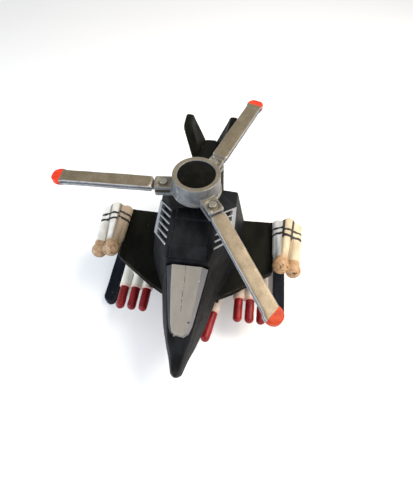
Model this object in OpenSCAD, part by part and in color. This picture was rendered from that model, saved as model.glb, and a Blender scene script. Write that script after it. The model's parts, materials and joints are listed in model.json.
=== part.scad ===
// Toy attack helicopter with a jointed three-blade rotor.
// Millimetres. +Z is up, the nose points along -Y, and x = 0 is the mirror plane of the body.
// The origin is on the ground, straight under the rotor axle.

/* [Rotor] */
// Height of the drum's top edge above the ground
hub_top = 56; // [55.5:0.1:58]
// Radius of the silver drum
drum_r = 7.45; // [7.2:0.05:7.8]
// Radius of the black cap in the top of the drum
cap_r = 5.9; // [5.6:0.05:6]
// Distance from the rotor axis to each blade rivet
rivet_dist = 10.4; // [10.2:0.1:11]
// Lengths of the left, rear and front blades from rivet to tip
blade_len = [37.2, 38.2, 39.3];
// Downward set of the left, rear and front blades, degrees
blade_droop = [2.3, 0, 5];
// Width of the narrowest blade
blade_w = 4.8; // [4.4:0.1:5]
// Blade thickness
blade_t = 2.6; // [2.4:0.1:2.8]
// Direction of the first lug, degrees from +X
lug_angle = 185; // [180:1:190]
// Rest swing of the left, rear and front blades from their lugs, degrees
blade_rest = [-5.8, 5.5, -3.4];

/* [Body] */
// Height of the wing's top face, where the upper and lower shells part
wing_top = 22; // [21.5:0.1:22.5]
// Wall thickness of the body shells
wall = 1.6; // [1.2:0.1:1.8]

/* [Wings] */
// Thickness of the wing plates
wing_t = 3; // [2.6:0.1:3.2]
// Distance from the mirror plane to the wing tip at the trailing edge
wing_tip_x = 30.5; // [30:0.1:31]

/* [Stores] */
// Radius of each barrel on the wing tips
barrel_r = 2.2; // [2.1:0.05:2.3]
// Radius of the launcher tubes
tube_r = 2.1; // [1.9:0.05:2.1]
// Radius of the red missiles
missile_r = 1.65; // [1.4:0.05:1.7]
// Height of the launcher tube centres
launcher_z = 12; // [11:0.1:12.5]

/* [Runners] */
// Distance from the mirror plane to each runner's centre line
runner_x = 33.8; // [33:0.1:34.5]
// Width and height of a runner
runner_w = 4.2; // [3.8:0.1:4.4]

/* [Hidden] */

left = -1;
right = 1;
// Overlap that keeps joined or cut faces from sharing a plane.
overlap = 0.01;
$fn = 48;

// Points of a solid between matching rings of points, as one closed skin of triangles.
module loft(rings) {
    n = len(rings[0]);
    last = len(rings) - 1;
    points = [for (ring = rings) each ring];
    sides = [
        for (k = [0 : last - 1]) for (i = [0 : n - 1])
            let (a = k * n + i, b = k * n + (i + 1) % n)
                each [[a, b, b + n], [a, b + n, a + n]]
    ];
    start = [for (i = [1 : n - 2]) [0, i + 1, i]];
    end = [for (i = [1 : n - 2]) [last * n, last * n + i, last * n + i + 1]];
    polyhedron(points = points, faces = concat(sides, start, end));
}

// A ring that is symmetric about x = 0, from its right-hand points listed top to bottom.
function both_sides(half) = concat(
    [for (p = half) [-p[0], p[1], p[2]]],
    [for (i = [len(half) - 1 : -1 : 0]) half[i]]
);

// Copies a right-hand shape to the side asked for.
module on_side(side) {
    mirror([side == left ? 1 : 0, 0, 0]) children();
}

// ---- Body shells ----
parting_z = wing_top;
rear_y = 10.5;
bulkhead_y = -22.7;

// Grille: one corner, the two edge directions, and the outward normal of its sloping roof panel.
grille_corner = [13, 2.7, parting_z + 17.5];
grille_run = [0, -13.2, -1.7];
grille_cross = [-5.7, -8.6, 5.7];
grille_normal = cross(grille_cross, grille_run) / norm(cross(grille_cross, grille_run));

function grille_point(run, across, height) =
    grille_corner + run * grille_run + across * grille_cross + height * grille_normal;

// A slab on the roof panel: fractions along its run and across it, and heights above it in mm.
module roof_slab(run, across, height) {
    loft([
        for (r = run) [
            grille_point(r, across[0], height[0]), grille_point(r, across[1], height[0]),
            grille_point(r, across[1], height[1]), grille_point(r, across[0], height[1])
        ]
    ]);
}

// Each body ring is given by its top edge, its shoulder, and the x and y of its foot.
function nose_rings() = [
    [[0.5, -52.4, 25.4], [0.8, -52.5, 24], [0.9, -52.5]],
    [[1.1, -51.3, 26.6], [1.6, -51.3, 24.8], [1.8, -51.3]],
    [[2.0, -47, 29], [2.7, -47, 26], [3.1, -46.8]],
    [[3.3, -43.4, 30.8], [4.1, -43.2, 27.3], [4.6, -43]]
];

function deck_rings() = [
    [[4.9, -35, 34.3], [6.1, -35, 29.3], [7.2, -35]],
    [[6.9, bulkhead_y, 39.4], [8.4, bulkhead_y, 31.5], [10, bulkhead_y]]
];

function housing_rings() = [
    [[6.5, bulkhead_y, 42], [8.4, bulkhead_y, 31.5], [10, bulkhead_y]],
    [grille_point(1, 1, 0), grille_point(1, 0, 0), [15.5, -11]],
    [grille_point(0, 1, 0), grille_point(0, 0, 0), [16.8, 2.7]],
    [[7.3, rear_y - 1.6, parting_z + 17.2], [13.2, rear_y - 1, parting_z + 17.2], [16.9, rear_y - 0.6]],
    [[7.1, rear_y, parting_z + 16.8], [12.8, rear_y, parting_z + 16.2], [16.6, rear_y]]
];

function nose_cavity_rings() = [
    [[1.5, -43, 28.6], [2.3, -43, 26.5], [2.9, -43]],
    [[3.3, -35, 32.4], [4.5, -35, 28.8], [5.6, -35]],
    [[5.2, bulkhead_y - wall, 37], [6.7, bulkhead_y - wall, 30.6], [8.1, bulkhead_y - wall]]
];

function housing_cavity_rings() = [
    [[4.6, bulkhead_y + wall, 39.6], [6.4, bulkhead_y + wall, 32], [8.2, bulkhead_y + wall]],
    [[5.2, -10, 42.6], [11, -10, 36.3], [13.8, -10]],
    [[5.2, -4, 42.6], [11.2, -2, 36.6], [14.4, -2]],
    [[5.2, rear_y - wall, 36.4], [11.2, rear_y - wall, 36], [15.1, rear_y - wall]]
];

module shell_solid(rows, foot_z) {
    loft([for (row = rows) both_sides([row[0], row[1], [row[2][0], row[2][1], foot_z]])]);
}

// Body screws: centre line position and the height of the roof above each post.
screw_y = [-31, -9, 6];
post_top = [34.9, 43.4, 38.4];
post_r = 2.6;
screw_r = 1;
floor_z = 11;

module nose_solid() {
    shell_solid(concat(nose_rings(), deck_rings()), parting_z);
}

module housing_solid() {
    shell_solid(housing_rings(), parting_z);
}

// Post of body screw i, from the parting face up into the roof.
module screw_post(i) {
    translate([0, screw_y[i], parting_z]) cylinder(r = post_r, h = post_top[i] - parting_z);
}

module pilot_hole(i) {
    translate([0, screw_y[i], parting_z - 1]) cylinder(r = screw_r, h = 9);
}

module nose_shell() {
    color("#15171a") difference() {
        union() {
            difference() {
                nose_solid();
                shell_solid(nose_cavity_rings(), parting_z - 1);
            }
            screw_post(0);
        }
        pilot_hole(0);
    }
}

module engine_housing() {
    color("#15171a") difference() {
        union() {
            difference() {
                housing_solid();
                shell_solid(housing_cavity_rings(), parting_z - 1);
            }
            for (i = [1, 2]) screw_post(i);
            translate([0, 0, mast_foot_z]) cylinder(r = mast_r, h = collar_z - mast_foot_z);
        }
        for (i = [1, 2]) pilot_hole(i);
        translate([0, 0, mast_foot_z - 1]) cylinder(r = axle_r, h = 14);
        for (side = [left, right]) on_side(side)
            roof_slab([0.02, 0.98], [0.03, 0.97], [-0.9, 1.5]);
        boom_pegs(peg_r);
    }
}

module lower_shell() {
    tray = [
        [[1.5, -50.6, parting_z], [0.7, -50.2, 20.4]],
        [[4.5, -43, parting_z], [2.8, -42, 16.8]],
        [[7.1, -35, parting_z], [4.6, -34, 13.4]],
        [[9.6, -24, parting_z], [6.2, -23, floor_z]],
        [[14, -12, parting_z], [7.5, -11, floor_z]],
        [[14, rear_y, parting_z], [7.5, rear_y - 2, floor_z + 2]]
    ];
    inner = [
        [[3.2, -43, parting_z + 1], [1.4, -42, 18.6]],
        [[5.5, -35, parting_z + 1], [3.2, -34, 15.2]],
        [[8, -24, parting_z + 1], [4.8, -23, floor_z + wall]],
        [[12.4, -12, parting_z + 1], [6.1, -11, floor_z + wall]],
        [[12.4, rear_y - wall, parting_z + 1], [6.1, rear_y - 2 - wall, floor_z + 2 + wall]]
    ];
    color("#15171a") difference() {
        union() {
            difference() {
                union() {
                    loft([for (row = tray) both_sides(row)]);
                    for (side = [left, right]) on_side(side) belly_pylon();
                }
                loft([for (row = inner) both_sides(row)]);
            }
            intersection() {
                loft([for (row = tray) both_sides(row)]);
                for (y = screw_y) translate([0, y, floor_z]) cylinder(r = post_r, h = parting_z - floor_z);
            }
        }
        for (y = screw_y) translate([0, y, 0]) {
            cylinder(r = screw_r + 0.1, h = parting_z + 1);
            cylinder(r = screw_head_r + 0.1, h = screw_seat_z);
        }
        for (side = [left, right]) on_side(side)
            translate([wing_root_x - overlap, wing_front_y, wing_top - wing_t])
                cube([12, rear_y - wing_front_y + 1, wing_t + 1]);
    }
}

screw_head_r = 2;
screw_seat_z = 15;

module body_screws() {
    color("#8d8f92") for (y = screw_y) translate([0, y, screw_seat_z]) {
        translate([0, 0, -1.2]) cylinder(r = screw_head_r, h = 1.2);
        cylinder(r = screw_r, h = parting_z + 7 - screw_seat_z);
    }
}

module canopy() {
    rings = [
        [[1.1, -42.3, 32.4], [1.6, -42.6, 31.3]],
        [[2.3, -41.4, 33.1], [2.9, -41.6, 31.8]],
        [[2.9, -39.3, 33.9], [3.7, -39.5, 32.6]],
        [[3.9, -31.5, 37.2], [5.1, -31.7, 35.8]],
        [[4.6, -23.3, 40.7], [6.5, -23.3, 39.3]]
    ];
    color("#a9a59b") difference() {
        loft([for (row = rings) both_sides([row[0], row[1], [row[1][0] - 0.8, row[1][1], 28]])]);
        nose_solid();
        housing_solid();
    }
}

module spine_cover() {
    color("#1b1d20") difference() {
        union() {
            loft([for (p = [[-22.3, 43], [-18.6, 44.7]]) both_sides([[5.6, p[0], p[1]], [5.9, p[0], 40]])]);
            loft([for (p = [[-18.7, 44.1], [-9.4, 45.3]]) both_sides([[5.4, p[0], p[1]], [5.7, p[0], 40]])]);
            loft([for (p = [[-9.5, 45.7], [-5.6, 46.2]]) both_sides([[5.6, p[0], p[1]], [5.9, p[0], 40]])]);
        }
        nose_solid();
        housing_solid();
        translate([0, 0, 40]) cylinder(r = mast_r, h = 8);
    }
}

// ---- Louvre grilles ----
slat_count = 5;

module grille(side) {
    band = 0.24;
    slat = 0.05;
    color("#a7abb0") on_side(side) {
        roof_slab([0.02, 0.98], [0.03, band], [-0.9, 0.5]);
        for (k = [0 : slat_count])
            let (start = 0.02 + k * (0.96 - slat) / slat_count)
                roof_slab([start, start + slat], [band - 0.05, 0.97], [-0.9, 0.35]);
    }
}

module left_grille() { grille(left); }
module right_grille() { grille(right); }

// ---- Tail ----
boom_end_y = 41;
peg_r = 1.2;

module boom_pegs(r) {
    for (x = [-5, 5]) translate([x, rear_y - 4, 30]) rotate([-90, 0, 0]) cylinder(r = r, h = 5);
}

module tail_boom() {
    rings = [
        [[7.3, rear_y, 38.4], [8.2, rear_y, 36], [5.6, rear_y, 26]],
        [[6.2, 21, 37.8], [7.2, 21, 35.5], [4.6, 21, 27]],
        [[5.6, 30, 36.6], [6.3, 30, 34.6], [3.6, 30, 28.4]],
        [[2.2, boom_end_y, 35.4], [2.6, boom_end_y, 33.6], [1.6, boom_end_y, 30]]
    ];
    color("#15171a") difference() {
        union() {
            loft([for (row = rings) both_sides(row)]);
            boom_pegs(peg_r);
        }
        for (side = [left, right]) fin_solid(side);
    }
}

// One fin: a thick swept plate leaning outward from the boom's shoulder, with its tip rounded.
module fin_solid(side) {
    rings = [
        [[2.7, 29.2], [6.1, 29.2], [4.4, 41], [1.4, 41], 33.4],
        [[6.6, 35.3], [10.4, 35.3], [10.2, 43], [6.7, 43], 44.2],
        [[7, 36.2], [10.3, 36.2], [10.1, 42.6], [7.1, 42.6], 45.6],
        [[7.7, 37.8], [9.8, 37.8], [9.7, 41.4], [7.8, 41.4], 46.6]
    ];
    on_side(side) loft([
        for (ring = rings) [for (i = [3 : -1 : 0]) [ring[i][0], ring[i][1], ring[4]]]
    ]);
}

module left_fin() { color("#15171a") fin_solid(left); }
module right_fin() { color("#15171a") fin_solid(right); }

// ---- Wings ----
wing_root_x = 8.5;
wing_front_y = -23.6;

module wing(side) {
    outline = [
        [wing_root_x, wing_front_y], [10.2, wing_front_y], [14.9, -21], [28.4, -11.4],
        [wing_tip_x, 11.4], [17.4, 10.9], [wing_root_x, 10.4]
    ];
    color("#121412") on_side(side) translate([0, 0, wing_top - wing_t])
        linear_extrude(height = wing_t) polygon(outline);
}

module left_wing() { wing(left); }
module right_wing() { wing(right); }

// ---- Barrel clusters on the wing tips ----
// Each barrel from the inner one out: nose ball centre, length behind it, ball radius, toe-in in degrees.
barrels = [
    [[30.1, -7.4, 23.6], 18.2, 1.9, -0.8],
    [[30.6, -10.7, 25.6], 21.4, 2.9, 8.5],
    [[35.3, -11.2, 24.1], 20.2, 2.7, 4.4]
];
barrel_rear_round = 1.4;

module barrel(ball, length, ball_r, toe) {
    rear = barrel_rear_round;
    translate(ball) rotate([0, 0, -toe]) rotate([-90, 0, 0]) rotate_extrude() {
        polygon([
            [0, 0], [ball_r * 0.8, 0], [barrel_r, ball_r + 0.9], [barrel_r, length - rear],
            [barrel_r - 0.4 * rear, length - 0.4 * rear], [barrel_r - rear, length], [0, length]
        ]);
        intersection() {
            circle(r = ball_r);
            translate([0, -ball_r]) square([ball_r, 2 * ball_r]);
        }
    }
}

// A stretch of a barrel's round body, from one distance behind its nose ball to its rear end.
module barrel_stretch(ball, length, from, toe) {
    translate(ball) rotate([0, 0, -toe]) rotate([-90, 0, 0]) translate([0, 0, from])
        cylinder(r = barrel_r - 0.25, h = length - barrel_rear_round - from, $fn = 32);
}

// Three barrels moulded as one lump, cut flat underneath so that it stands on the wing.
module barrel_cluster(side) {
    inner = barrels[0];
    middle = barrels[1];
    outer = barrels[2];
    joined_from = [3.5, 12];
    color("#cfcabb") on_side(side) difference() {
        union() {
            for (b = barrels) barrel(b[0], b[1], b[2], b[3]);
            hull() for (b = [inner, middle]) barrel_stretch(b[0], b[1], joined_from[0], b[3]);
            hull() for (b = [middle, outer]) barrel_stretch(b[0], b[1], joined_from[1], b[3]);
            translate([28.6, -4, wing_top]) rotate([0, 0, -outer[3]]) cube([8, 13, 3]);
        }
        translate([20, -20, wing_top - 5]) cube([25, 40, 5]);
    }
}

module left_barrel_cluster() { barrel_cluster(left); }
module right_barrel_cluster() { barrel_cluster(right); }

// ---- Launchers and missiles under the wings ----
launcher_x = [17.5, 21.75, 26];
launcher_front_y = -19.1;
launcher_len = 17;
missile_len = 8.8;
spigot_r = 1.1;
spigot_len = 4;

module launcher(side) {
    color("#cdc9bd") on_side(side) difference() {
        union() {
            for (x = launcher_x) translate([x, launcher_front_y, launcher_z])
                rotate([-90, 0, 0]) cylinder(r = tube_r, h = launcher_len);
            translate([launcher_x[0], launcher_front_y + 0.6, launcher_z - 0.8])
                cube([launcher_x[2] - launcher_x[0], launcher_len - 1.2, 1.6]);
            translate([20, launcher_front_y + 5, launcher_z])
                cube([3.5, 9, wing_top - wing_t - launcher_z]);
        }
        for (x = launcher_x) translate([x, launcher_front_y - 1, launcher_z])
            rotate([-90, 0, 0]) cylinder(r = spigot_r, h = spigot_len + 1);
    }
}

// A missile that points along -Y from the origin, with a spigot behind it.
module missile(r, length) {
    rotate([90, 0, 0]) rotate_extrude() {
        translate([0, -spigot_len + 0.3]) square([spigot_r, spigot_len]);
        square([r, length - r]);
        translate([0, length - r]) intersection() {
            circle(r = r);
            square([r, r]);
        }
    }
}

module missiles(side) {
    color("#9c2226") on_side(side)
        for (x = launcher_x) translate([x, launcher_front_y, launcher_z]) missile(missile_r, missile_len);
}

module left_launcher() { launcher(left); }
module right_launcher() { launcher(right); }
module left_missiles() { missiles(left); }
module right_missiles() { missiles(right); }

// ---- Belly missiles, toed in along the nose ----
belly_z = 9;
belly_mouth = [8.5, -24.2, belly_z];
belly_toe = 10.3;
belly_tube_r = 1.9;
belly_tube_len = 11;
belly_missile_len = 11.6;
belly_lug_top = 11.5;

module belly_frame(side) {
    on_side(side) translate(belly_mouth) rotate([0, 0, -belly_toe]) children();
}

// Post of the lower shell that each belly tube hangs from.
module belly_pylon() {
    translate([belly_mouth[0], belly_mouth[1], 0]) rotate([0, 0, -belly_toe])
        translate([-1, 3, belly_lug_top]) cube([2, 6, 20 - belly_lug_top]);
}

module belly_tube(side) {
    color("#cdc9bd") belly_frame(side) difference() {
        union() {
            rotate([-90, 0, 0]) cylinder(r = belly_tube_r, h = belly_tube_len);
            translate([-0.9, 3.2, 0]) cube([1.8, 5.6, belly_lug_top - belly_z]);
        }
        translate([0, -1, 0]) rotate([-90, 0, 0]) cylinder(r = spigot_r, h = spigot_len + 1);
    }
}

module belly_missile(side) {
    color("#9c2226") belly_frame(side) missile(missile_r + 0.05, belly_missile_len);
}

module left_belly_tube() { belly_tube(left); }
module right_belly_tube() { belly_tube(right); }
module left_belly_missile() { belly_missile(left); }
module right_belly_missile() { belly_missile(right); }

// ---- Runners ----
runner_front_y = -21.9;
runner_rear_y = 10;

module runner(side) {
    half = runner_w / 2;
    color("#14161d") on_side(side) {
        translate([runner_x, runner_front_y + half, 0]) linear_extrude(height = runner_w) {
            circle(r = half);
            translate([-half, 0]) square([runner_w, runner_rear_y - runner_front_y - 2 * half]);
            translate([0, runner_rear_y - runner_front_y - 2 * half]) circle(r = half);
        }
        loft([
            for (p = [[runner_x, runner_w - 0.6], [27.4, wing_top - wing_t]]) [
                [p[0] - 1.5, -1, p[1]], [p[0] - 1.5, 7, p[1]],
                [p[0] + 1.5, 7, p[1]], [p[0] + 1.5, -1, p[1]]
            ]
        ]);
    }
}

module left_runner() { runner(left); }
module right_runner() { runner(right); }

// ---- Rotor ----
mast_r = 4.6;
mast_foot_z = 36;
axle_r = 1.25;
running_gap = 0.06;
collar_z = 48.05;
collar_t = 0.7;
washer_t = 0.4;
drum_z = collar_z + collar_t + washer_t + 0.05;
web_top = 50.6;
cap_seat = 53.6;
blade_top = 52;
lug_top = 52.25;
lug_bottom = 48.6;
lug_end = 2.9;
lug_half_w = 2.5;
tongue_z = [49.9, 50.9];
slot_z = [49.8, 51];
eye_r = 1.9;
rivet_r = 0.8;
shoulder = 3.3;
// How much wider each hand-finished blade is on either side than the narrowest one.
blade_spread = [0.1, 0.25, 0];

module mast_collar() {
    color("#2a2c2f") translate([0, 0, collar_z]) difference() {
        cylinder(r = 4.4, h = collar_t);
        translate([0, 0, -1]) cylinder(r = axle_r, h = collar_t + 2);
    }
}

module axle_washer() {
    color("#b5b8bb") translate([0, 0, collar_z + collar_t]) difference() {
        cylinder(r = 3, h = washer_t);
        translate([0, 0, -1]) cylinder(r = axle_r + running_gap, h = washer_t + 2);
    }
}

module rotor_axle() {
    color("#b5b8bb") rotate_extrude() {
        translate([0, 38]) square([axle_r, web_top + 0.1 - 38]);
        translate([0, web_top + 0.1]) square([2.6, 0.7]);
        translate([0, web_top + 0.8]) square([2, 0.5]);
    }
}

// Direction of blade i's lug, counted from the left one, clockwise seen from above.
function lug_dir(i) = lug_angle - 120 * i;

module lug() {
    difference() {
        union() {
            translate([drum_r - 1.2, -lug_half_w, lug_bottom])
                cube([rivet_dist + lug_end - 0.8 - drum_r + 1.2, 2 * lug_half_w, lug_top - lug_bottom]);
            for (y = [-1, 1]) translate([rivet_dist + lug_end - 0.8, y * (lug_half_w - 0.8), lug_bottom])
                cylinder(r = 0.8, h = lug_top - lug_bottom);
            translate([rivet_dist + lug_end - 1, -lug_half_w + 0.8, lug_bottom])
                cube([1, 2 * (lug_half_w - 0.8), lug_top - lug_bottom]);
            for (y = [-1, 1]) translate([rivet_dist + 2, y * (lug_half_w - 0.7), lug_top - overlap])
                cylinder(r = 0.45, h = 0.3);
        }
        translate([rivet_dist - eye_r - 0.35, -4, slot_z[0]]) cube([8, 8, slot_z[1] - slot_z[0]]);
        translate([rivet_dist, 0, lug_bottom - 1]) cylinder(r = rivet_r, h = 6);
        translate([rivet_dist, 0, lug_top - 0.35]) cylinder(r = 2, h = 1);
    }
}

module rotor_hub() {
    color("#a5a9ae") difference() {
        union() {
            translate([0, 0, drum_z]) cylinder(r = drum_r, h = hub_top - drum_z, $fn = 96);
            translate([0, 0, drum_z]) cylinder(r = drum_r + 0.5, h = 0.9, $fn = 96);
            for (i = [0 : 2]) rotate([0, 0, lug_dir(i)]) lug();
        }
        translate([0, 0, drum_z - 1]) cylinder(r = axle_r + running_gap, h = 10);
        translate([0, 0, web_top]) cylinder(r = cap_r - 0.9, h = 10);
        translate([0, 0, cap_seat]) cylinder(r = cap_r, h = 10, $fn = 96);
    }
}

module hub_cap() {
    dome_r = 40;
    rim = hub_top - 0.3;
    color("#0d0e10") intersection() {
        translate([0, 0, cap_seat]) cylinder(r = cap_r, h = 4, $fn = 96);
        translate([0, 0, rim - sqrt(dome_r * dome_r - cap_r * cap_r)]) sphere(r = dome_r, $fn = 96);
    }
}

module blade_rivets() {
    color("#d0d2d4") for (i = [0 : 2]) rotate([0, 0, lug_dir(i)]) translate([rivet_dist, 0, 0])
        rotate_extrude() {
            translate([0, lug_bottom - 0.5]) square([1.3, 0.5]);
            translate([0, lug_bottom - 0.1]) square([rivet_r, lug_top - 0.35 - lug_bottom + 0.2]);
            translate([0, lug_top - 0.35]) square([1.3, 0.35]);
            translate([0, lug_top]) intersection() {
                scale(1.3) circle(r = 1);
                square([1.3, 0.6]);
            }
        }
}

// Blade outline from its chamfered shoulder to a round tip that is a little wider than the bar.
module blade_outline(length, half) {
    tip_r = half + 0.4;
    bar_end = length - tip_r;
    polygon([[0, -0.7], [0.35, -half], [bar_end, -half], [bar_end, half], [0.35, half], [0, 0.7]]);
    translate([bar_end, 0]) circle(r = tip_r);
}

module blade(i) {
    middle_z = blade_top - blade_t / 2;
    color("#a5a9ae") rotate([0, 0, lug_dir(i)]) translate([rivet_dist, 0, 0]) rotate([0, 0, blade_rest[i]])
        difference() {
            union() {
                translate([0, 0, tongue_z[0]]) {
                    cylinder(r = eye_r, h = tongue_z[1] - tongue_z[0]);
                    translate([0, -eye_r, 0]) cube([shoulder + 1, 2 * eye_r, tongue_z[1] - tongue_z[0]]);
                }
                translate([shoulder, 0, middle_z]) rotate([0, blade_droop[i], 0])
                    translate([0, 0, -blade_t / 2]) linear_extrude(height = blade_t)
                        blade_outline(blade_len[i] - shoulder, blade_w / 2 + blade_spread[i]);
            }
            translate([0, 0, 40]) cylinder(r = rivet_r + running_gap, h = 20);
        }
}

module left_blade() { blade(0); }
module rear_blade() { blade(1); }
module front_blade() { blade(2); }

nose_shell();
engine_housing();
lower_shell();
canopy();
spine_cover();
left_grille();
right_grille();
tail_boom();
left_fin();
right_fin();
left_wing();
right_wing();
left_barrel_cluster();
right_barrel_cluster();
left_launcher();
right_launcher();
left_missiles();
right_missiles();
left_belly_tube();
right_belly_tube();
left_belly_missile();
right_belly_missile();
left_runner();
right_runner();
body_screws();
mast_collar();
rotor_axle();
axle_washer();
rotor_hub();
hub_cap();
blade_rivets();
left_blade();
rear_blade();
front_blade();
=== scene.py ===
"""A small moulded toy attack helicopter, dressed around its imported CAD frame."""

import json
import math

import bmesh
import bpy
from mathutils import Matrix, Vector, noise


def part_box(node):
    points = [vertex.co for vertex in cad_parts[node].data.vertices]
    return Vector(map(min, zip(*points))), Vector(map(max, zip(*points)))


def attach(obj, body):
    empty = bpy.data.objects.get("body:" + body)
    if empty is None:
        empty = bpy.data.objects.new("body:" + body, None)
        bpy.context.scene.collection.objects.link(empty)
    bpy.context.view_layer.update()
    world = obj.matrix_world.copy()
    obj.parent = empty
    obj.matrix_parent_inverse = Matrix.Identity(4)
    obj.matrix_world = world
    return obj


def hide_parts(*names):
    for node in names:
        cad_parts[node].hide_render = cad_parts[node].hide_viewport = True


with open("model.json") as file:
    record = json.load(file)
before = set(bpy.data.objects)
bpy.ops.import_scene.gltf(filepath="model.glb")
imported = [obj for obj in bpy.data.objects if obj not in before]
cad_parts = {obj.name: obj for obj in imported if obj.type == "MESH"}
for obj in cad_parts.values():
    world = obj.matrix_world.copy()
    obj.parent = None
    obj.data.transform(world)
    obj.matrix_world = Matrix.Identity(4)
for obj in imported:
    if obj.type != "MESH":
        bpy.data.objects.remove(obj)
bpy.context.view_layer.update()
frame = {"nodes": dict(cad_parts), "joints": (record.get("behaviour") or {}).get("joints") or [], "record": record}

MM = 0.001
SIDES = ("left", "right")
BLADES = ("left_blade", "rear_blade", "front_blade")
joints = {j["name"]: j for j in frame["joints"]}
body_of_node = {
    node: body
    for body, nodes in frame["record"]["behaviour"]["bodies"].items()
    for node in nodes
}


# ---- Shader helpers ----
class Shader:
    """A node material that is put together one step at a time."""

    def __init__(self, name):
        self.material = bpy.data.materials.new(name)
        self.material.use_nodes = True
        self.tree = self.material.node_tree
        self.surface = self.tree.nodes["Principled BSDF"]
        self.place = self.add("ShaderNodeTexCoord").outputs["Object"]

    def add(self, kind, **settings):
        made = self.tree.nodes.new(kind)
        for key, value in settings.items():
            setattr(made, key, value)
        return made

    def wire(self, source, socket):
        if hasattr(source, "is_output"):
            self.tree.links.new(source, socket)
        else:
            socket.default_value = source

    def scaled(self, factors):
        """Object coordinates in millimetres, stretched by factors."""
        mapping = self.add("ShaderNodeMapping")
        mapping.inputs["Scale"].default_value = [f / MM for f in factors]
        self.wire(self.place, mapping.inputs["Vector"])
        return mapping.outputs["Vector"]

    def noise(self, per_mm, detail=3, roughness=0.6, stretch=(1, 1, 1)):
        """Soft noise with this many features to the millimetre."""
        made = self.add("ShaderNodeTexNoise")
        made.inputs["Scale"].default_value = 1
        made.inputs["Detail"].default_value = detail
        made.inputs["Roughness"].default_value = roughness
        self.wire(self.scaled([per_mm * s for s in stretch]), made.inputs["Vector"])
        return made.outputs["Fac"]

    def step(self, value, low, high):
        """0 where value is under low and 1 where it is over high."""
        made = self.add("ShaderNodeMapRange", clamp=True, interpolation_type="SMOOTHSTEP")
        made.inputs["From Min"].default_value = low
        made.inputs["From Max"].default_value = high
        self.wire(value, made.inputs["Value"])
        return made.outputs["Result"]

    def math(self, operation, a, b=0.0):
        made = self.add("ShaderNodeMath", operation=operation)
        self.wire(a, made.inputs[0])
        self.wire(b, made.inputs[1])
        return made.outputs["Value"]

    def times(self, a, b):
        return self.math("MULTIPLY", a, b)

    def inverse(self, value):
        """1 where value is 0, and 0 where it is 1."""
        return self.math("SUBTRACT", 1.0, value)

    def near(self, value, centre, half):
        """1 where value is within half of centre, and 0 elsewhere."""
        made = self.math("COMPARE", value, centre)
        made.node.inputs[2].default_value = half
        return made

    def mix(self, amount, a, b):
        """Colour a where amount is 0 and colour b where it is 1."""
        made = self.add("ShaderNodeMix", data_type="RGBA")
        self.wire(amount, made.inputs["Factor"])
        colour_inputs = [s for s in made.inputs if s.type == "RGBA"]
        for socket, colour in zip(colour_inputs, (a, b)):
            self.wire(colour if hasattr(colour, "is_output") else (*colour, 1), socket)
        return [s for s in made.outputs if s.type == "RGBA"][0]

    def cover(self, tone, colour, mask, strength):
        """The tone with a colour laid over it where mask is 1, at this strength."""
        return self.mix(self.times(mask, strength), tone, colour)

    def attribute(self, name):
        return self.add("ShaderNodeAttribute", attribute_name=name).outputs["Fac"]

    def coordinate(self, axis):
        """One object coordinate, in millimetres."""
        made = self.add("ShaderNodeSeparateXYZ")
        self.wire(self.scaled((1, 1, 1)), made.inputs["Vector"])
        return made.outputs[axis]

    def facing(self, axis):
        """One component of the surface's direction."""
        made = self.add("ShaderNodeSeparateXYZ")
        self.wire(self.add("ShaderNodeNewGeometry").outputs["Normal"], made.inputs["Vector"])
        return made.outputs[axis]

    def sharpness(self):
        """Above 0.5 on outward edges and below it in creases."""
        return self.add("ShaderNodeNewGeometry").outputs["Pointiness"]

    def creases(self, shallow, deep=0.45):
        """0 where the sharpness is over shallow and 1 where it is under deep."""
        return self.step(self.times(self.sharpness(), -1), -shallow, -deep)

    def bump(self, height, depth_mm, strength=1.0):
        made = self.add("ShaderNodeBump")
        made.inputs["Strength"].default_value = strength
        made.inputs["Distance"].default_value = depth_mm * MM
        self.wire(height, made.inputs["Height"])
        if self.surface.inputs["Normal"].is_linked:
            self.wire(self.surface.inputs["Normal"].links[0].from_socket, made.inputs["Normal"])
        self.wire(made.outputs["Normal"], self.surface.inputs["Normal"])

    def finish(self, colour, roughness, metallic=0.0, specular=0.5, coat=0.0):
        self.wire(colour, self.surface.inputs["Base Color"])
        self.wire(roughness, self.surface.inputs["Roughness"])
        self.surface.inputs["Metallic"].default_value = metallic
        self.surface.inputs["Specular IOR Level"].default_value = specular
        self.surface.inputs["Coat Weight"].default_value = coat
        return self.material


def roughness_between(shader, low, high, per_mm):
    """A roughness that wanders between two values."""
    made = shader.add("ShaderNodeMapRange")
    made.inputs["To Min"].default_value = low
    made.inputs["To Max"].default_value = high
    shader.wire(shader.noise(per_mm), made.inputs["Value"])
    return made.outputs["Result"]


# ---- Materials ----
# Colours are linear. A name in the plural is a pair that the material wanders between.
CHIP_GREY = (0.20, 0.20, 0.19)

CANOPY_TONES = ((0.195, 0.178, 0.155), (0.285, 0.265, 0.235))
CANOPY_RIGHT_FACET_SHADE = (0.145, 0.15, 0.175)
CANOPY_EDGE_HIGHLIGHT = (0.42, 0.41, 0.40)
CANOPY_SPECK = (0.10, 0.09, 0.08)
SCRATCH_BROWN = (0.04, 0.035, 0.03)
NICK_BLACK = (0.03, 0.028, 0.03)
UNPAINTED_BLACK = (0.006, 0.006, 0.008)

SIDE_SHADE_SILVERS = ((0.12, 0.132, 0.15), (0.20, 0.208, 0.222))
SILVER_EDGE_HIGHLIGHT = (0.62, 0.60, 0.55)
SILVER_CREASE_SHADE = (0.09, 0.08, 0.07)
PIT_BROWN = (0.045, 0.035, 0.025)
GLINT_SILVER = (0.36, 0.34, 0.29)
GRILLE_TONES = ((0.19, 0.20, 0.215), (0.33, 0.34, 0.355))
CAP_TONES = ((0.002, 0.002, 0.001), (0.006, 0.005, 0.003))
CAP_DUST = (0.16, 0.15, 0.13)
STEEL_TONES = ((0.20, 0.185, 0.15), (0.34, 0.32, 0.27))

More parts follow.
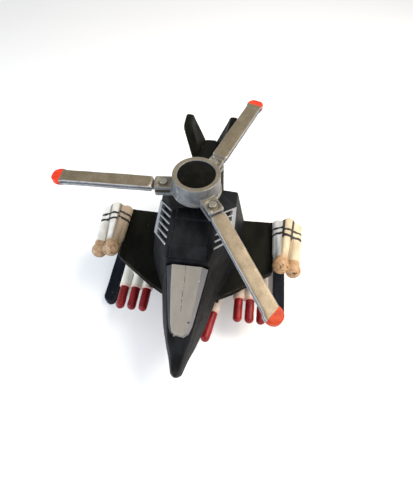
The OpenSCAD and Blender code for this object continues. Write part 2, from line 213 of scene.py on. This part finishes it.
BAND_BLACK = (0.006, 0.004, 0.005)
NOSE_NICK = (0.06, 0.03, 0.015)
BLEED_PINK = (0.55, 0.22, 0.18)
CREASE_SHADE = (0.12, 0.10, 0.08)
SPECK_GRIME = (0.10, 0.08, 0.06)
RED_TONES = ((0.12, 0.004, 0.006), (0.26, 0.010, 0.014))
RUBBED_RED = (0.07, 0.01, 0.01)

# The scratch along the canopy fades out in front between these two values of y.
SCRATCH_X_MM = -0.75
SCRATCH_HALF_WIDTH_MM = 0.11
SCRATCH_FRONT_MM = (-36.5, -35.5)
# The nick in the canopy's paint: its middle and half its size, across and along.
NICK_MIDDLE_MM = (2.5, -38.8)
NICK_HALF_SIZE_MM = (0.3, 0.25)
# The two bands painted round each barrel, measured behind its nose.
BAND_CENTRES_MM = (12.5, 15.1)
BAND_HALF_WIDTH_MM = 0.5


def black_plastic(name, dark, light, edge, gloss=0.08):
    """Satin black plastic with lighter sharp edges, partly rubbed paint and partly painted edge highlights, fine
    grain and a few pale chips.
    """
    s = Shader(name)
    tone = s.mix(s.step(s.noise(0.22, stretch=(1, 0.4, 1)), 0.35, 0.7), dark, light)
    # Sharp edges turn lighter: partly rubbed paint, partly painted edge highlights.
    rubbed = s.times(s.step(s.sharpness(), 0.515, 0.57), s.step(s.noise(0.5), 0.35, 0.65))
    tone = s.cover(tone, edge, rubbed, 0.6)
    chips = s.times(s.step(s.noise(0.9, detail=2), 0.735, 0.76), s.step(s.noise(0.16), 0.45, 0.6))
    tone = s.cover(tone, CHIP_GREY, chips, 0.7)
    s.bump(s.noise(3.5, detail=4), 0.05)
    s.bump(s.noise(0.35), 0.25, 0.5)
    return s.finish(tone, roughness_between(s, 0.42, 0.68, 0.7), specular=gloss)


def canopy_paint():
    """Silver-grey paint on the top and right facets, with painted shade on the right facet, painted highlights on
    sharp edges and a worn dashed scratch along the middle.
    """
    s = Shader("canopy_silver")
    tone = s.mix(s.noise(0.35, stretch=(1.4, 0.5, 1)), *CANOPY_TONES)
    # Painted shade: the right facet is made darker and bluer.
    right_facet_shade = s.step(s.facing("X"), 0.2, 0.4)
    tone = s.cover(tone, CANOPY_RIGHT_FACET_SHADE, right_facet_shade, 0.85)
    # Painted highlight: sharp edges are made lighter.
    edges = s.step(s.sharpness(), 0.515, 0.55)
    tone = s.cover(tone, CANOPY_EDGE_HIGHLIGHT, edges, 0.75)
    specks = s.step(s.noise(2.4, detail=2), 0.66, 0.74)
    tone = s.cover(tone, CANOPY_SPECK, specks, 0.35)
    across = s.math("SUBTRACT", s.coordinate("X"), s.times(s.noise(0.3), 0.9))
    line = s.near(across, SCRATCH_X_MM, SCRATCH_HALF_WIDTH_MM)
    dashes = s.step(s.noise(1.1, stretch=(0.3, 1, 0.3)), 0.40, 0.50)
    back_half = s.step(s.coordinate("Y"), *SCRATCH_FRONT_MM)
    line = s.times(s.times(line, back_half), s.times(dashes, 0.8))
    tone = s.mix(line, tone, SCRATCH_BROWN)
    nick = s.times(*(
        s.near(s.coordinate(axis), middle, half)
        for axis, middle, half in zip("XY", NICK_MIDDLE_MM, NICK_HALF_SIZE_MM)))
    tone = s.mix(nick, tone, NICK_BLACK)
    leftward = s.math("ADD", s.times(s.facing("X"), -1), s.times(s.noise(1.2), 0.1))
    bare = s.step(leftward, 0.42, 0.5)
    tone = s.mix(bare, tone, UNPAINTED_BLACK)
    s.bump(s.noise(2.5, detail=4), 0.05)
    return s.finish(tone, roughness_between(s, 0.36, 0.5, 0.8), metallic=0.35, specular=0.5)


# Middle and half height of each line along a blade's flank, where the bottom edge is -0.5 and the top
# edge 0.5, with its colour and strength: painted highlights on edge and ridge, painted shade between and under
# them.
FLANK_HIGHLIGHTS_AND_SHADE = (
    (0.44, 0.05, (0.45, 0.45, 0.44), 0.8),
    (-0.09, 0.06, (0.34, 0.35, 0.37), 0.8),
    (0.13, 0.12, (0.05, 0.05, 0.06), 0.8),
    (-0.32, 0.12, (0.09, 0.09, 0.10), 0.7),
)


def flank_highlights_and_shade(s, tone):
    """Painted highlights along the blade's upper edge and moulding ridge, with painted shade between and under
    them.
    """
    level = s.attribute("level")
    side = s.inverse(s.step(s.facing("Z"), 0.6, 0.9))
    # Each line is a painted highlight or a painted shade along the flank, broken up by noise.
    patchy = s.step(s.noise(0.9), 0.3, 0.55)
    for middle, half, colour, amount in FLANK_HIGHLIGHTS_AND_SHADE:
        line = s.near(level, middle, half)
        tone = s.mix(s.times(s.times(line, side), s.times(patchy, amount)), tone, colour)
    return tone


def silver_paint(name, top_lit_tones, tip_tones=None):
    """Metallic paint over plastic, pitted, with painted light: a warmer lit tone on flat tops, a bluer painted
    shade on the sides, painted highlights on sharp edges, painted shade in creases and small painted glints.
    """
    s = Shader(name)
    # Painted light: flat tops get a warmer lit tone and the sides a bluer painted shade.
    top_light = s.mix(s.step(s.noise(0.28), 0.3, 0.7), *top_lit_tones)
    side_shade = s.mix(s.step(s.noise(0.4), 0.3, 0.7), *SIDE_SHADE_SILVERS)
    tone = s.mix(s.step(s.facing("Z"), 0.55, 0.95), side_shade, top_light)
    # Painted highlight on sharp edges.
    edge_highlight = s.step(s.sharpness(), 0.53, 0.60)
    tone = s.cover(tone, SILVER_EDGE_HIGHLIGHT, edge_highlight, 0.8)
    # Painted shade in the creases.
    tone = s.cover(tone, SILVER_CREASE_SHADE, s.creases(0.488), 0.6)
    if tip_tones:
        tone = flank_highlights_and_shade(s, tone)
    pits = s.step(s.noise(1.6, detail=2), 0.68, 0.75)
    tone = s.cover(tone, PIT_BROWN, pits, 0.6)
    glints = s.step(s.noise(3.0, detail=1), 0.62, 0.70)
    tone = s.cover(tone, GLINT_SILVER, glints, 0.4)
    if tip_tones:
        along = s.math("ADD", s.attribute("along"), s.times(s.noise(0.6), 0.6))
        tip = s.step(along, 0.42, 0.6)
        orange = s.mix(s.step(s.noise(0.7), 0.35, 0.7), *tip_tones)
        tone = s.mix(tip, tone, orange)
        s.wire(s.times(s.inverse(tip), 0.45), s.surface.inputs["Metallic"])
    s.bump(s.noise(2.2, detail=4), 0.07)
    s.bump(s.noise(0.5), 0.3, 0.15)
    return s.finish(tone, roughness_between(s, 0.3, 0.46, 0.9), metallic=0.45, specular=0.12)


def grille_paint():
    """Cool silver paint on the louvres, varying at random."""
    s = Shader("grille_silver")
    tone = s.mix(s.noise(0.6), *GRILLE_TONES)
    s.bump(s.noise(3.0, detail=3), 0.05)
    return s.finish(tone, roughness_between(s, 0.35, 0.5, 1.0), metallic=0.35, specular=0.5)


def gloss_cap():
    """Gloss black paint, slightly uneven, with a few dust specks."""
    s = Shader("cap_black")
    tone = s.mix(s.step(s.noise(0.3), 0.4, 0.7), *CAP_TONES)
    dust = s.step(s.noise(3.2, detail=1), 0.74, 0.78)
    tone = s.cover(tone, CAP_DUST, dust, 0.3)
    s.bump(s.noise(0.45), 0.12, 0.6)
    return s.finish(tone, roughness_between(s, 0.12, 0.22, 0.6), specular=0.05, coat=0.05)


def steel():
    """Bright domed steel with fine scratches."""
    s = Shader("bright_steel")
    tone = s.mix(s.noise(1.8, stretch=(1, 6, 1)), *STEEL_TONES)
    s.bump(s.noise(4, stretch=(1, 5, 1)), 0.03)
    return s.finish(tone, roughness_between(s, 0.22, 0.36, 1.5), metallic=0.75)


def barrel_paint(name, tones, inner_face_light_and_shade, nose_tones, groove_shade_tone, seam_amount):
    """Hand-painted barrels: pale bodies, tan noses with brown nicks, two thin black bands, painted shade in the
    grooves, and a painted light and shade tone on the inner barrel's face.
    """
    s = Shader(name)
    tone = s.mix(s.step(s.noise(0.45, stretch=(1, 0.4, 1)), 0.3, 0.7), *tones)
    # The inner barrel's face gets a tone for the light on it: painted shade on the left cluster, painted cool
    # light on the right.
    inner = s.inverse(s.step(s.attribute("barrel"), 0.2, 0.5))
    tone = s.cover(tone, inner_face_light_and_shade, inner, 0.85)
    wobble = s.times(s.math("SUBTRACT", s.noise(0.7), 0.5), 1.1)
    along = s.math("ADD", s.attribute("along"), wobble)
    # Painted shade in the grooves between the barrels.
    groove = s.inverse(s.step(s.attribute("groove"), 0.05, 0.75))
    tone = s.cover(tone, groove_shade_tone, groove, 0.8)
    nose = s.inverse(s.step(along, 2.9, 3.5))
    nose_tone = s.mix(s.step(s.noise(0.8), 0.3, 0.7), *nose_tones)
    tone = s.mix(nose, tone, nose_tone)
    front = s.step(s.times(along, -1), -0.4, 1.4)
    nicks = s.times(s.step(s.noise(1.3, detail=1), 0.60, 0.64), front)
    tone = s.mix(nicks, tone, NOSE_NICK)
    seam = s.inverse(s.step(s.attribute("groove"), 0.30, 0.44))
    seam = s.times(s.times(seam, seam_amount), s.step(along, 10.5, 12))
    tone = s.mix(seam, tone, BAND_BLACK)
    bands = s.math("ADD", s.attribute("bands"), wobble)
    for centre in BAND_CENTRES_MM:
        band = s.near(bands, centre, BAND_HALF_WIDTH_MM)
        broken = s.step(s.noise(1.0, detail=1), 0.24, 0.30)
        tone = s.cover(tone, BAND_BLACK, band, broken)
    s.bump(s.noise(2.4, detail=4), 0.08)
    s.bump(s.noise(0.5), 0.35, 0.5)
    return s.finish(tone, roughness_between(s, 0.38, 0.58, 0.8), specular=0.4)


def launcher_paint(name, tones, bleed_amount):
    """Off-white paint with a pink bleed of red near each muzzle and painted shade in the creases."""
    s = Shader(name)
    tone = s.mix(s.noise(0.5, stretch=(1, 0.3, 1)), *tones)
    muzzle = s.math("ADD", s.attribute("along"), s.times(s.noise(0.8), 1.6))
    bleed = s.inverse(s.step(muzzle, 0.9, 2.2))
    tone = s.cover(tone, BLEED_PINK, bleed, bleed_amount)
    # Painted shade in the creases.
    tone = s.cover(tone, CREASE_SHADE, s.creases(0.49), 0.6)
    specks = s.step(s.noise(2.0, detail=1), 0.70, 0.74)
    tone = s.cover(tone, SPECK_GRIME, specks, 0.5)
    s.bump(s.noise(2.5, detail=4), 0.06)
    return s.finish(tone, roughness_between(s, 0.42, 0.6, 0.8), specular=0.4)


def red_paint():
    """Glossy red paint with darker streaks and rubbed patches."""
    s = Shader("missile_red")
    streaks = s.step(s.noise(0.5, stretch=(1.6, 0.5, 1)), 0.3, 0.7)
    tone = s.mix(streaks, *RED_TONES)
    rubbed = s.step(s.noise(1.1, detail=2), 0.68, 0.74)
    tone = s.cover(tone, RUBBED_RED, rubbed, 0.6)
    s.bump(s.noise(2.2, detail=3), 0.05)
    return s.finish(tone, roughness_between(s, 0.30, 0.46, 0.9), specular=0.25)


# ---- Mesh helpers ----
WELD_DISTANCE_M = 1e-6


def set_material(made, material):
    made.data.materials.clear()
    made.data.materials.append(material)


def place_piece(mesh_object, node, material):
    """Makes a finished mesh object stand for a CAD node, no bigger than the node, with its material."""
    low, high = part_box(node)
    for vertex in mesh_object.data.vertices:
        vertex.co = [min(max(v, least), most) for v, least, most in zip(vertex.co, low, high)]
    set_material(mesh_object, material)
    mesh_object.data.shade_smooth()
    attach(mesh_object, body_of_node[node])
    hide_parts(node)
    return mesh_object


def new_object(name, bm):
    mesh = bpy.data.meshes.new(name)
    bm.to_mesh(mesh)
    bm.free()
    made = bpy.data.objects.new(name, mesh)
    bpy.context.scene.collection.objects.link(made)
    return made


def apply_modifiers(made):
    """Replaces an object's mesh with what its modifiers make of it."""
    graph = bpy.context.evaluated_depsgraph_get()
    graph.update()
    result = bpy.data.meshes.new_from_object(made.evaluated_get(graph))
    old = made.data
    made.modifiers.clear()
    made.data = result
    bpy.data.meshes.remove(old)


def moulded_copy(node, voxel_mm, rounds):
    """The node's shape as soft moulded plastic: evenly remeshed, with its sharp edges rounded."""
    bm = bmesh.new()
    bm.from_mesh(frame["nodes"][node].data)
    bmesh.ops.remove_doubles(bm, verts=bm.verts, dist=WELD_DISTANCE_M)
    made = new_object(node + "_moulded", bm)
    remesh = made.modifiers.new("even", "REMESH")
    remesh.mode = "VOXEL"
    remesh.voxel_size = voxel_mm * MM
    remesh.adaptivity = 0
    soften = made.modifiers.new("soften", "SMOOTH")
    soften.factor = 0.5
    soften.iterations = rounds
    apply_modifiers(made)
    return made


def store_attribute(made, name, values):
    """Keeps a number on each vertex for the materials to read."""
    made.data.attributes.new(name, "FLOAT", "POINT").data.foreach_set("value", values)


def uneven(made, amount_mm, per_mm, seed):
    """Pushes the surface in and out a little, as on a hand-finished casting."""
    offset = Vector((seed, seed * 0.7, seed * 1.3))
    normals = [v.normal.copy() for v in made.data.vertices]
    for vertex, normal in zip(made.data.vertices, normals):
        vertex.co += normal * amount_mm * MM * noise.noise(vertex.co * per_mm / MM + offset)


# ---- Rotor ----
TIP_OVERHANG_MM = 0.4  # how far the round tip stands out beyond the bar on each side
CAD_MARGIN_MM = 0.04  # how far the round tip stays inside its CAD shape
BAR_STEPS = 36  # rings along the straight part of the bar
END_TAPER_MM = 0.6  # how much of the tip gets thinner towards its end
END_THINNING = 0.35  # the share of the height that is gone at the end
TONGUE_START_MM = 1.0  # where the tongue begins, from the rivet's axis
TONGUE_GAP_MM = 0.05  # how far the tongue stops short of the bar
TONGUE_WIDTH = 0.78  # width of the tongue as a share of the bar's
NO_ORANGE_MM = -20.0  # a place on the blade that is well clear of the orange paint
# The bar's flank from the top down: mm outside its half width, and height as a share of the bar's.
FLANK_OUTLINE = (
    (-0.90, 0.50), (-0.36, 0.49), (-0.10, 0.44), (-0.02, 0.36), (-0.14, 0.10), (-0.20, 0.02),
    (0.02, -0.06), (0.04, -0.13), (-0.16, -0.22), (-0.28, -0.38), (-0.60, -0.49),
)


def blade_frame(node):
    """Where the blade's bar lies and how big it is, read from the blade's CAD node and its joint."""
    pivot = Vector(joints[node.replace("blade", "blade_swing")]["pos_m"])
    points = [v.co for v in frame["nodes"][node].data.vertices]
    reach = max((p.xy - pivot.xy).length for p in points)
    far = [p for p in points if (p.xy - pivot.xy).length > 0.95 * reach]
    out = sum(far, Vector()) / len(far) - pivot
    hinge = Matrix.Translation(pivot) @ Matrix.Rotation(math.atan2(out.y, out.x), 4, "Z")
    local = [hinge.inverted() @ p for p in points]
    half = max(p.y for p in local)
    # The thin eye round the rivet, the far end, and the wide shoulder where the bar begins.
    eye = [p for p in local if p.x < half * 0.7]
    tip = [p for p in local if p.x > 0.95 * reach]
    shoulder = [p for p in local if p.x < 0.15 * reach and abs(p.y) > 0.85 * half]

    def middle(group):
        """The height halfway up a group of points."""
        return (max(p.z for p in group) + min(p.z for p in group)) / 2

    start = min(p.x for p in shoulder)
    droop = math.atan2(middle(shoulder) - middle(tip), reach - start)
    bar = Matrix.Translation((start, 0, middle(shoulder))) @ Matrix.Rotation(droop, 4, "Y")
    on_bar = [bar.inverted() @ p for p in local]
    return {
        "hinge": hinge, "bar": bar, "start": start,
        "tongue": (min(p.z for p in eye), max(p.z for p in eye)),
        "length": max(p.x for p in on_bar),
        "half_width": half,
        "half_height": max(p.z for p in on_bar if p.x > 0),
    }


def blade_section(half, height):
    """The bar's outline: rounded top corners, a groove, and a moulding ridge along each flank."""
    flank = [(half + outside * MM, z) for outside, z in FLANK_OUTLINE]
    right_side = [(0.0, 0.5)] + flank + [(0.0, -0.5)]
    outline = right_side + [(-y, z) for y, z in right_side[-2:0:-1]]
    return [(y, z * height) for y, z in outline]


def tip_half_width(behind_mm, bar_half, tip_radius):
    """Half width of the blade this far behind its end: the bar, and the wider round tip on it."""
    from_centre = behind_mm - tip_radius
    if abs(from_centre) > tip_radius:
        return bar_half
    bulb = math.sqrt(tip_radius ** 2 - from_centre ** 2)
    return max(bar_half, bulb) if from_centre > 0 else bulb


def make_blade(node, material, seed, orange_mm, slant):
    """A flat bar with a moulding ridge along its flanks, a rounded wider tip, and a tongue for the lug.

    The orange paint begins orange_mm behind the end, and slants by this much per mm across the bar.
    """
    size = blade_frame(node)
    length_mm = size["length"] / MM
    tip_radius = size["half_width"] / MM - CAD_MARGIN_MM
    bar_half = tip_radius - TIP_OVERHANG_MM
    height = 2 * size["half_height"]
    bm = bmesh.new()
    rings, stations = [], []
    section = blade_section(bar_half * MM, height)
    low, high = size["tongue"]
    for x in (TONGUE_START_MM * MM, size["start"] - TONGUE_GAP_MM * MM):
        ring = [(x, y * TONGUE_WIDTH, (low + high) / 2 + z / height * (high - low)) for y, z in section]
        rings.append([bm.verts.new(p) for p in ring])
        stations.append([NO_ORANGE_MM] * len(ring))
    # Even rings along the bar, then rings that crowd together towards the end of the round tip.
    round_part = 2 * tip_radius
    fine = [round_part * (1 - math.cos(a * math.pi / 44)) / 2 for a in range(40, 1, -2)]
    behinds = [length_mm - (length_mm - round_part) * k / BAR_STEPS for k in range(BAR_STEPS + 1)]
    behinds += fine
    for number, behind in enumerate(behinds):
        width = tip_half_width(behind, bar_half, tip_radius) / bar_half
        thin = 1 - END_THINNING * max(0.0, 1 - behind / END_TAPER_MM)
        ring = []
        for y, z in section:
            x = size["length"] - behind * MM
            if number < 2:  # the bar's inner end has its corners rounded off
                x += 0.35 * MM * min(1.0, max(0.0, (abs(y) / MM - 0.7) / 1.7))
                width = 0.95 + 0.05 * number
            ring.append(size["bar"] @ Vector((x, y * width, z * thin)))
        rings.append([bm.verts.new(p) for p in ring])
        stations.append([orange_mm - behind + slant * y / MM for y, z in section])
    count = len(section)
    for a, b in zip(rings, rings[1:]):
        for i in range(count):
            bm.faces.new((a[i], a[(i + 1) % count], b[(i + 1) % count], b[i]))
    bm.faces.new(rings[0][::-1])
    bm.faces.new(rings[-1])
    bmesh.ops.recalc_face_normals(bm, faces=bm.faces)
    made = new_object(node + "_bar", bm)
    store_attribute(made, "along", [value for row in stations for value in row])
    store_attribute(made, "level", [z / height for y, z in section] * len(rings))
    uneven(made, 0.08, 0.18, seed)
    made.data.transform(size["hinge"])
    return place_piece(made, node, material)


def make_rotor():
    silver = silver_paint("rotor_silver", ((0.150, 0.132, 0.098), (0.205, 0.182, 0.138)))
    orange = ((0.66, 0.045, 0.014), (0.52, 0.030, 0.012))
    dull_orange = ((0.46, 0.058, 0.020), (0.36, 0.036, 0.014))
    olive = ((0.145, 0.118, 0.078), (0.190, 0.158, 0.108))
    tan = ((0.200, 0.158, 0.108), (0.270, 0.218, 0.152))
    place_piece(moulded_copy("rotor_hub", 0.13, 6), "rotor_hub", silver)
    place_piece(moulded_copy("hub_cap", 0.16, 4), "hub_cap", gloss_cap())
    place_piece(moulded_copy("blade_rivets", 0.09, 2), "blade_rivets", steel())
    for number, node in enumerate(BLADES):
        is_front = node == "front_blade"
        orange_mm, slant = (3.2, 0.5) if is_front else (3.5, 0.0)
        top_lit_tones, tip_tones = (tan, dull_orange) if is_front else (olive, orange)
        paint = silver_paint(node + "_silver", top_lit_tones, tip_tones)
        make_blade(node, paint, 3.1 * number + 1, orange_mm, slant)


# ---- Stores ----
# The barrels on the right-hand side, the first one being the inner, half-hidden one. Lengths are in mm
# and the toe-in in degrees. The last two say how far in front of its nose the tan paint and the black
# bands are measured from.
BARRELS = [
    {"nose": (30.1, -7.4), "toe_in": -0.8, "paint_forward": 3.3, "bands_forward": 2.1},
    {"nose": (30.6, -10.7), "toe_in": 8.5, "paint_forward": 0.0, "bands_forward": 0.0},
    {"nose": (35.3, -11.2), "toe_in": 4.4, "paint_forward": 0.0, "bands_forward": 0.0},
]


def place_on_barrel(co):
    """Facts about the barrel that a point is on: the distance behind its nose, the distance from the
    groove beside it, the distance behind its nose measured for its bands, and the barrel's number."""
    x, y = abs(co.x) / MM, co.y / MM
    found = []
    for number, barrel in enumerate(BARRELS):
        angle = math.radians(barrel["toe_in"])
        along_x, along_y = math.sin(angle), math.cos(angle)
        dx, dy = x - barrel["nose"][0], y - barrel["nose"][1]
        behind = dx * along_x + dy * along_y
        aside = abs(dx * along_y - dy * along_x)
        found.append((aside, behind + barrel["paint_forward"], behind + barrel["bands_forward"], number))
    (aside, along, bands, number), second = sorted(found)[:2]
    return along, (second[0] - aside) / 2, bands, number


def make_barrel_cluster(side, material):
    """Three barrels moulded as one lump, whose vertices keep what place_on_barrel says of them."""
    node = side + "_barrel_cluster"
    made = moulded_copy(node, 0.22, 8)
    facts = zip(*(place_on_barrel(v.co) for v in made.data.vertices))
    for name, values in zip(("along", "groove", "bands", "barrel"), facts):
        store_attribute(made, name, values)
    uneven(made, 0.14, 0.3, 5 if side == "left" else 9)
    return place_piece(made, node, material)


def make_stores():
    barrels = {
        "left": barrel_paint(
            "barrels_left", tones=((0.48, 0.47, 0.435), (0.70, 0.68, 0.64)),
            inner_face_light_and_shade=(0.31, 0.225, 0.13), nose_tones=((0.22, 0.135, 0.07), (0.40, 0.27, 0.16)),
            groove_shade_tone=(0.15, 0.125, 0.095), seam_amount=0.35),
        "right": barrel_paint(
            "barrels_right", tones=((0.44, 0.36, 0.24), (0.60, 0.51, 0.36)),
            inner_face_light_and_shade=(0.55, 0.59, 0.60), nose_tones=((0.33, 0.185, 0.09), (0.46, 0.30, 0.165)),
            groove_shade_tone=(0.26, 0.17, 0.085), seam_amount=0.95),
    }
    whites = {
        "left": launcher_paint(
            "store_white_left", tones=((0.60, 0.57, 0.49), (0.82, 0.80, 0.74)), bleed_amount=0.45),
        "right": launcher_paint(
            "store_white_right", tones=((0.56, 0.45, 0.36), (0.80, 0.69, 0.60)), bleed_amount=0.65),
    }
    red = red_paint()
    for side in SIDES:
        make_barrel_cluster(side, barrels[side])
        for node, voxel_mm in ((side + "_launcher", 0.2), (side + "_belly_tube", 0.18)):
            tube = moulded_copy(node, voxel_mm, 4)
            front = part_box(node)[0][1]
            store_attribute(tube, "along", [(v.co.y - front) / MM for v in tube.data.vertices])
            uneven(tube, 0.08, 0.4, 2)
            place_piece(tube, node, whites[side])
        for node in (side + "_missiles", side + "_belly_missile"):
            missile = moulded_copy(node, 0.16, 4)
            uneven(missile, 0.1, 0.4, 7)
            place_piece(missile, node, red)


# ---- Airframe ----
NOSE_ROUNDING_MM = 1.7
NOSE_FLATNESS = 0.92  # at 1 the end would come to a point


def round_off_nose(made, node):
    """Draws the very front of the nose in to a round end."""
    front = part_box(node)[0][1]
    depth = NOSE_ROUNDING_MM * MM
    tip = [v.co for v in made.data.vertices if v.co.y < front + depth]
    middle_z = (min(co.z for co in tip) + max(co.z for co in tip)) / 2
    for co in tip:
        ahead = 1 - (co.y - front) / depth
        narrow = math.sqrt(max(0.0, 1 - NOSE_FLATNESS * ahead ** 2))
        co.x *= narrow
        co.z = middle_z + (co.z - middle_z) * narrow


def make_airframe():
    body = black_plastic(
        "black_body", dark=(0.0035, 0.0035, 0.0042), light=(0.011, 0.012, 0.014),
        edge=(0.045, 0.048, 0.058))
    wing = black_plastic(
        "black_wing", dark=(0.003, 0.003, 0.002), light=(0.008, 0.008, 0.005),
        edge=(0.09, 0.092, 0.088), gloss=0.055)
    navy = black_plastic(
        "black_runner", dark=(0.003, 0.004, 0.008), light=(0.009, 0.012, 0.02),
        edge=(0.03, 0.035, 0.05))
    # Each node with its voxel size in mm, its rounds of smoothing and its material.
    plan = [
        ("nose_shell", 0.22, 14, body),
        ("engine_housing", 0.24, 9, body),
        ("lower_shell", 0.3, 5, body),
        ("spine_cover", 0.16, 8, body),
        ("tail_boom", 0.3, 12, wing),
        ("left_fin", 0.2, 45, wing),
        ("right_fin", 0.2, 45, wing),
        ("left_wing", 0.24, 6, wing),
        ("right_wing", 0.24, 6, wing),
        ("left_runner", 0.26, 6, navy),
        ("right_runner", 0.26, 6, navy),
    ]
    for number, (node, voxel_mm, rounds, material) in enumerate(plan):
        made = moulded_copy(node, voxel_mm, rounds)
        if node == "nose_shell":
            round_off_nose(made, node)
        uneven(made, 0.1, 0.15, number + 0.5)
        place_piece(made, node, material)
    place_piece(moulded_copy("canopy", 0.14, 9), "canopy", canopy_paint())
    louvres = grille_paint()
    for side in SIDES:
        place_piece(moulded_copy(side + "_grille", 0.1, 3), side + "_grille", louvres)
    metal = steel()
    for node in ("rotor_axle", "axle_washer", "body_screws"):
        set_material(frame["nodes"][node], metal)
    set_material(frame["nodes"]["mast_collar"], body)


# ---- Setting ----
FLOOR_HALF_SIZE_M = 1.2
SKY_COLOUR = (0.97, 0.98, 1.0)
SKY_STRENGTH = 0.75
# Each lamp: name, place, point aimed at and size in mm, power, and colour.
LAMPS = (
    ("key", (150, 40, 240), (0, -10, 20), (160, 160), 0.85, (1.0, 0.92, 0.80)),
    ("cool_fill", (-220, -140, 110), (0, -10, 30), (160, 110), 0.55, (0.75, 0.87, 1.0)),
    ("warm_side", (180, -150, 60), (0, -10, 35), (90, 60), 0.12, (1.0, 0.78, 0.55)),
    ("front_glint", (-30, -230, 90), (0, 0, 50), (40, 20), 0.04, (1.0, 0.97, 0.92)),
)
# The camera as fitted to the outlines in the picture. The offset is from the middle of the hub's top.
CAMERA_OFFSET_MM = (12.62, -76.36, 75.81)
CAMERA_AZIMUTH, CAMERA_ELEVATION, CAMERA_ROLL = 7.17, 56.75, -0.13  # degrees
CAMERA_LENS_MM = 30.5
CAMERA_SENSOR_MM = 36
CAMERA_CLIP_START_M = 0.005


def make_floor():
    bm = bmesh.new()
    bmesh.ops.create_grid(bm, x_segments=4, y_segments=4, size=FLOOR_HALF_SIZE_M)
    floor = new_object("floor", bm)
    s = Shader("pale_floor")
    tone = s.mix(s.noise(0.01), (0.86, 0.86, 0.86), (0.9, 0.9, 0.9))
    set_material(floor, s.finish(tone, 0.9, specular=0.1))


def area_light(name, place_mm, target_mm, size_mm, power, colour):
    data = bpy.data.lights.new(name, "AREA")
    data.shape = "RECTANGLE"
    data.size, data.size_y = (s * MM for s in size_mm)
    data.energy = power
    data.color = colour
    lamp = bpy.data.objects.new(name, data)
    bpy.context.scene.collection.objects.link(lamp)
    place, target = Vector(place_mm) * MM, Vector(target_mm) * MM
    lamp.location = place
    lamp.rotation_euler = (place - target).to_track_quat("Z", "Y").to_euler()


def make_lights():
    world = bpy.data.worlds.new("studio")
    world.use_nodes = True
    background = world.node_tree.nodes["Background"]
    background.inputs["Color"].default_value = (*SKY_COLOUR, 1)
    background.inputs["Strength"].default_value = SKY_STRENGTH
    bpy.context.scene.world = world
    for lamp in LAMPS:
        area_light(*lamp)


def make_camera():
    """A close camera in front of and above the nose, where the picture was taken from."""
    hub_top = Vector((0, 0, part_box("rotor_hub")[1][2]))
    offset = Vector(CAMERA_OFFSET_MM) * MM
    azimuth, elevation, roll = (
        math.radians(angle) for angle in (CAMERA_AZIMUTH, CAMERA_ELEVATION, CAMERA_ROLL))
    data = bpy.data.cameras.new("photo_camera")
    data.sensor_fit = "HORIZONTAL"
    data.sensor_width = CAMERA_SENSOR_MM
    data.lens = CAMERA_LENS_MM
    data.clip_start = CAMERA_CLIP_START_M
    camera = bpy.data.objects.new("photo_camera", data)
    bpy.context.scene.collection.objects.link(camera)
    turn = Matrix.Rotation(azimuth, 4, "Z") @ Matrix.Rotation(math.pi / 2 - elevation, 4, "X")
    camera.matrix_world = Matrix.Translation(hub_top + offset) @ turn @ Matrix.Rotation(roll, 4, "Z")
    bpy.context.scene.camera = camera


make_camera()
make_lights()
make_floor()
make_airframe()
make_stores()
make_rotor()
bpy.context.scene.view_settings.view_transform = "Standard"
